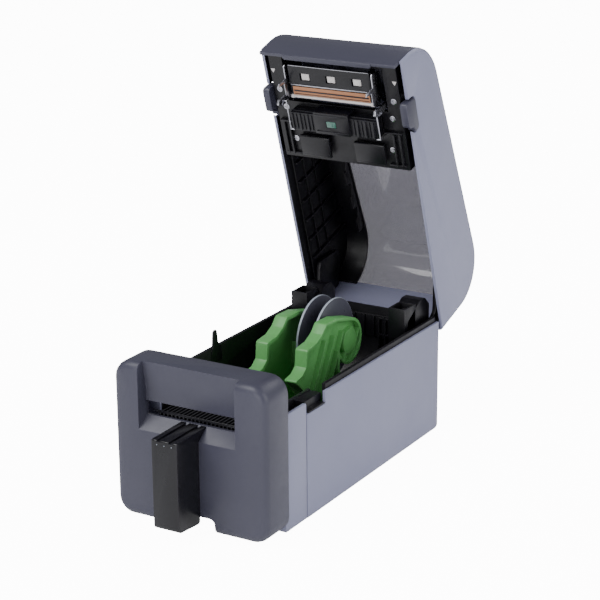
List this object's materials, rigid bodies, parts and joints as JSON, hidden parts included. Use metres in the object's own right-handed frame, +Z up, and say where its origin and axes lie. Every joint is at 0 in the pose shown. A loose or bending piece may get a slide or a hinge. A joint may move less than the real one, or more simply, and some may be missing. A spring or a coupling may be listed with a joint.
{
  "type": "label printer",
  "caption": "Desktop label printer with an open hinged lid, green roll guides, a print head in the lid and a label peeler unit on the front.",
  "frame": {"origin": "on the floor under the middle of the object's box with the lid open", "axes": "+X to the machine's right as seen from its front, +Y from the front to the back, +Z up"},
  "size_m": [0.1146, 0.3237, 0.2833],
  "materials": {
    "shell_grey": "fine satin texture",
    "panel_grey": "fine satin texture",
    "mechanism_black": "satin",
    "block_black": "satin",
    "guide_green": "semi-gloss",
    "disc_grey": "semi-gloss",
    "window_smoke": "smoked clear plastic",
    "roller_rubber": "matt",
    "foot_rubber": "matt",
    "bright_steel": "bright",
    "head_ceramic": "glazed ceramic stands as plastic",
    "gear_white": "natural acetal",
    "button_grey": "satin",
    "board_green": "solder mask",
    "lens_clear": "clear lens"
  },
  "bodies": {
    "base": {"base_plate": "mechanism_black", "foot_1": "foot_rubber", "foot_2": "foot_rubber", "foot_3": "foot_rubber", "foot_4": "foot_rubber", "side_cover": "shell_grey", "front_cover": "shell_grey", "roll_tub": "mechanism_black", "rear_grille": "mechanism_black", "hinge_tower_left": "mechanism_black", "hinge_tower_right": "mechanism_black", "hinge_pin_left": "bright_steel", "hinge_pin_right": "bright_steel", "main_board": "board_green", "dc_jack": "mechanism_black", "data_port": "bright_steel", "mechanism_frame": "mechanism_black", "peel_bar": "bright_steel", "platen_bushing_left": "gear_white", "platen_bushing_right": "gear_white", "idler_post": "bright_steel", "drive_motor": "bright_steel", "peeler_cover": "panel_grey", "sensor_block": "block_black", "outlet_guide": "mechanism_black", "pinion_post": "bright_steel"},
    "platen": {"platen_shaft": "bright_steel", "platen_rubber": "roller_rubber", "platen_gear": "gear_white"},
    "idler": {"idler_gear": "gear_white"},
    "motor": {"motor_pinion": "gear_white"},
    "pinch_arm": {"peeler_arm": "bright_steel"},
    "pinch": {"pinch_roller": "roller_rubber"},
    "guide_left": {"left_guide": "guide_green"},
    "guide_right": {"right_guide": "guide_green"},
    "disc_left": {"left_disc": "disc_grey"},
    "disc_right": {"right_disc": "disc_grey"},
    "pinion": {"guide_pinion": "gear_white"},
    "lid": {"lid_shell": "shell_grey", "lid_front_panel": "panel_grey", "status_lens": "lens_clear", "lid_window": "window_smoke", "lid_liner": "mechanism_black", "lid_arm_left": "mechanism_black", "lid_arm_right": "mechanism_black", "head_carrier": "mechanism_black", "media_sensor": "mechanism_black"},
    "button_power": {"power_button": "button_grey"},
    "button_feed": {"feed_button": "button_grey"},
    "head": {"head_bracket": "mechanism_black", "thermal_head": "head_ceramic", "heat_sink": "bright_steel"},
    "flap_left": {"paper_flap_left": "mechanism_black"},
    "flap_right": {"paper_flap_right": "mechanism_black"},
    "latch": {"latch_shaft": "bright_steel", "latch_hook_left": "bright_steel", "latch_hook_right": "bright_steel", "release_lever_left": "panel_grey", "release_lever_right": "panel_grey"}
  },
  "joints": [
    {"name": "lid_hinge", "type": "hinge", "parent": "base", "child": "lid", "pos_m": [0, 0.101, 0.0746], "axis": [1, 0, 0], "range_deg": [0, 72.2]},
    {"name": "platen_spin", "type": "hinge", "parent": "base", "child": "platen", "pos_m": [0, -0.0855, 0.0663], "axis": [1, 0, 0], "continuous": true},
    {"name": "idler_spin", "type": "hinge", "parent": "base", "child": "idler", "pos_m": [-0.0462, -0.07929, 0.04312], "axis": [1, 0, 0], "continuous": true},
    {"name": "motor_spin", "type": "hinge", "parent": "base", "child": "motor", "pos_m": [-0.0462, -0.08929, 0.0258], "axis": [1, 0, 0], "continuous": true},
    {"name": "pinch_arm_swing", "type": "hinge", "parent": "base", "child": "pinch_arm", "pos_m": [0, -0.1005, 0.042], "axis": [1, 0, 0], "range_deg": [0, 6], "stiffness_Nm_per_rad": 0.3},
    {"name": "pinch_spin", "type": "hinge", "parent": "pinch_arm", "child": "pinch", "pos_m": [0, -0.09525, 0.05947], "axis": [1, 0, 0], "continuous": true},
    {"name": "right_guide_slide", "type": "slide", "parent": "base", "child": "guide_right", "axis": [1, 0, 0], "range_m": [0, 0.022]},
    {"name": "left_guide_slide", "type": "slide", "parent": "base", "child": "guide_left", "axis": [-1, 0, 0], "range_m": [0, 0.022]},
    {"name": "guide_pinion_turn", "type": "hinge", "parent": "base", "child": "pinion", "pos_m": [0, 0.0269, 0.0102], "axis": [0, 0, 1], "range_deg": [0, 210.4]},
    {"name": "left_disc_spin", "type": "hinge", "parent": "guide_left", "child": "disc_left", "pos_m": [-0.006, 0.0349, 0.0805], "axis": [1, 0, 0], "continuous": true},
    {"name": "right_disc_spin", "type": "hinge", "parent": "guide_right", "child": "disc_right", "pos_m": [0.006, 0.0349, 0.0805], "axis": [1, 0, 0], "continuous": true},
    {"name": "print_head_float", "type": "hinge", "parent": "lid", "child": "head", "pos_m": [0, 0.06479, 0.24625], "axis": [1, 0, 0], "range_deg": [-3, 0], "stiffness_Nm_per_rad": 1},
    {"name": "left_flap_swing", "type": "hinge", "parent": "lid", "child": "flap_left", "pos_m": [-0.0215, 0.05961, 0.21465], "axis": [1, 0, 0], "range_deg": [0, 5], "stiffness_Nm_per_rad": 0.02},
    {"name": "right_flap_swing", "type": "hinge", "parent": "lid", "child": "flap_right", "pos_m": [0.0215, 0.05961, 0.21465], "axis": [1, 0, 0], "range_deg": [0, 5], "stiffness_Nm_per_rad": 0.02},
    {"name": "latch_turn", "type": "hinge", "parent": "lid", "child": "latch", "pos_m": [0, 0.06053, 0.23858], "axis": [1, 0, 0], "range_deg": [0, 5], "stiffness_Nm_per_rad": 0.8},
    {"name": "power_button_press", "type": "slide", "parent": "lid", "child": "button_power", "axis": [0, -0.9083, -0.4183], "range_m": [0, 0.0008], "stiffness_N_per_m": 400},
    {"name": "feed_button_press", "type": "slide", "parent": "lid", "child": "button_feed", "axis": [0, -0.9083, -0.4183], "range_m": [0, 0.0008], "stiffness_N_per_m": 400}
  ],
  "couplings": [
    {"joint": "idler_spin", "follows": "platen_spin", "ratio": -0.71429},
    {"joint": "motor_spin", "follows": "platen_spin", "ratio": 1.6667},
    {"joint": "pinch_spin", "follows": "platen_spin", "ratio": -1.875},
    {"joint": "left_guide_slide", "follows": "right_guide_slide", "ratio": 1},
    {"joint": "guide_pinion_turn", "follows": "right_guide_slide", "rad_per_m": 166.67}
  ]
}
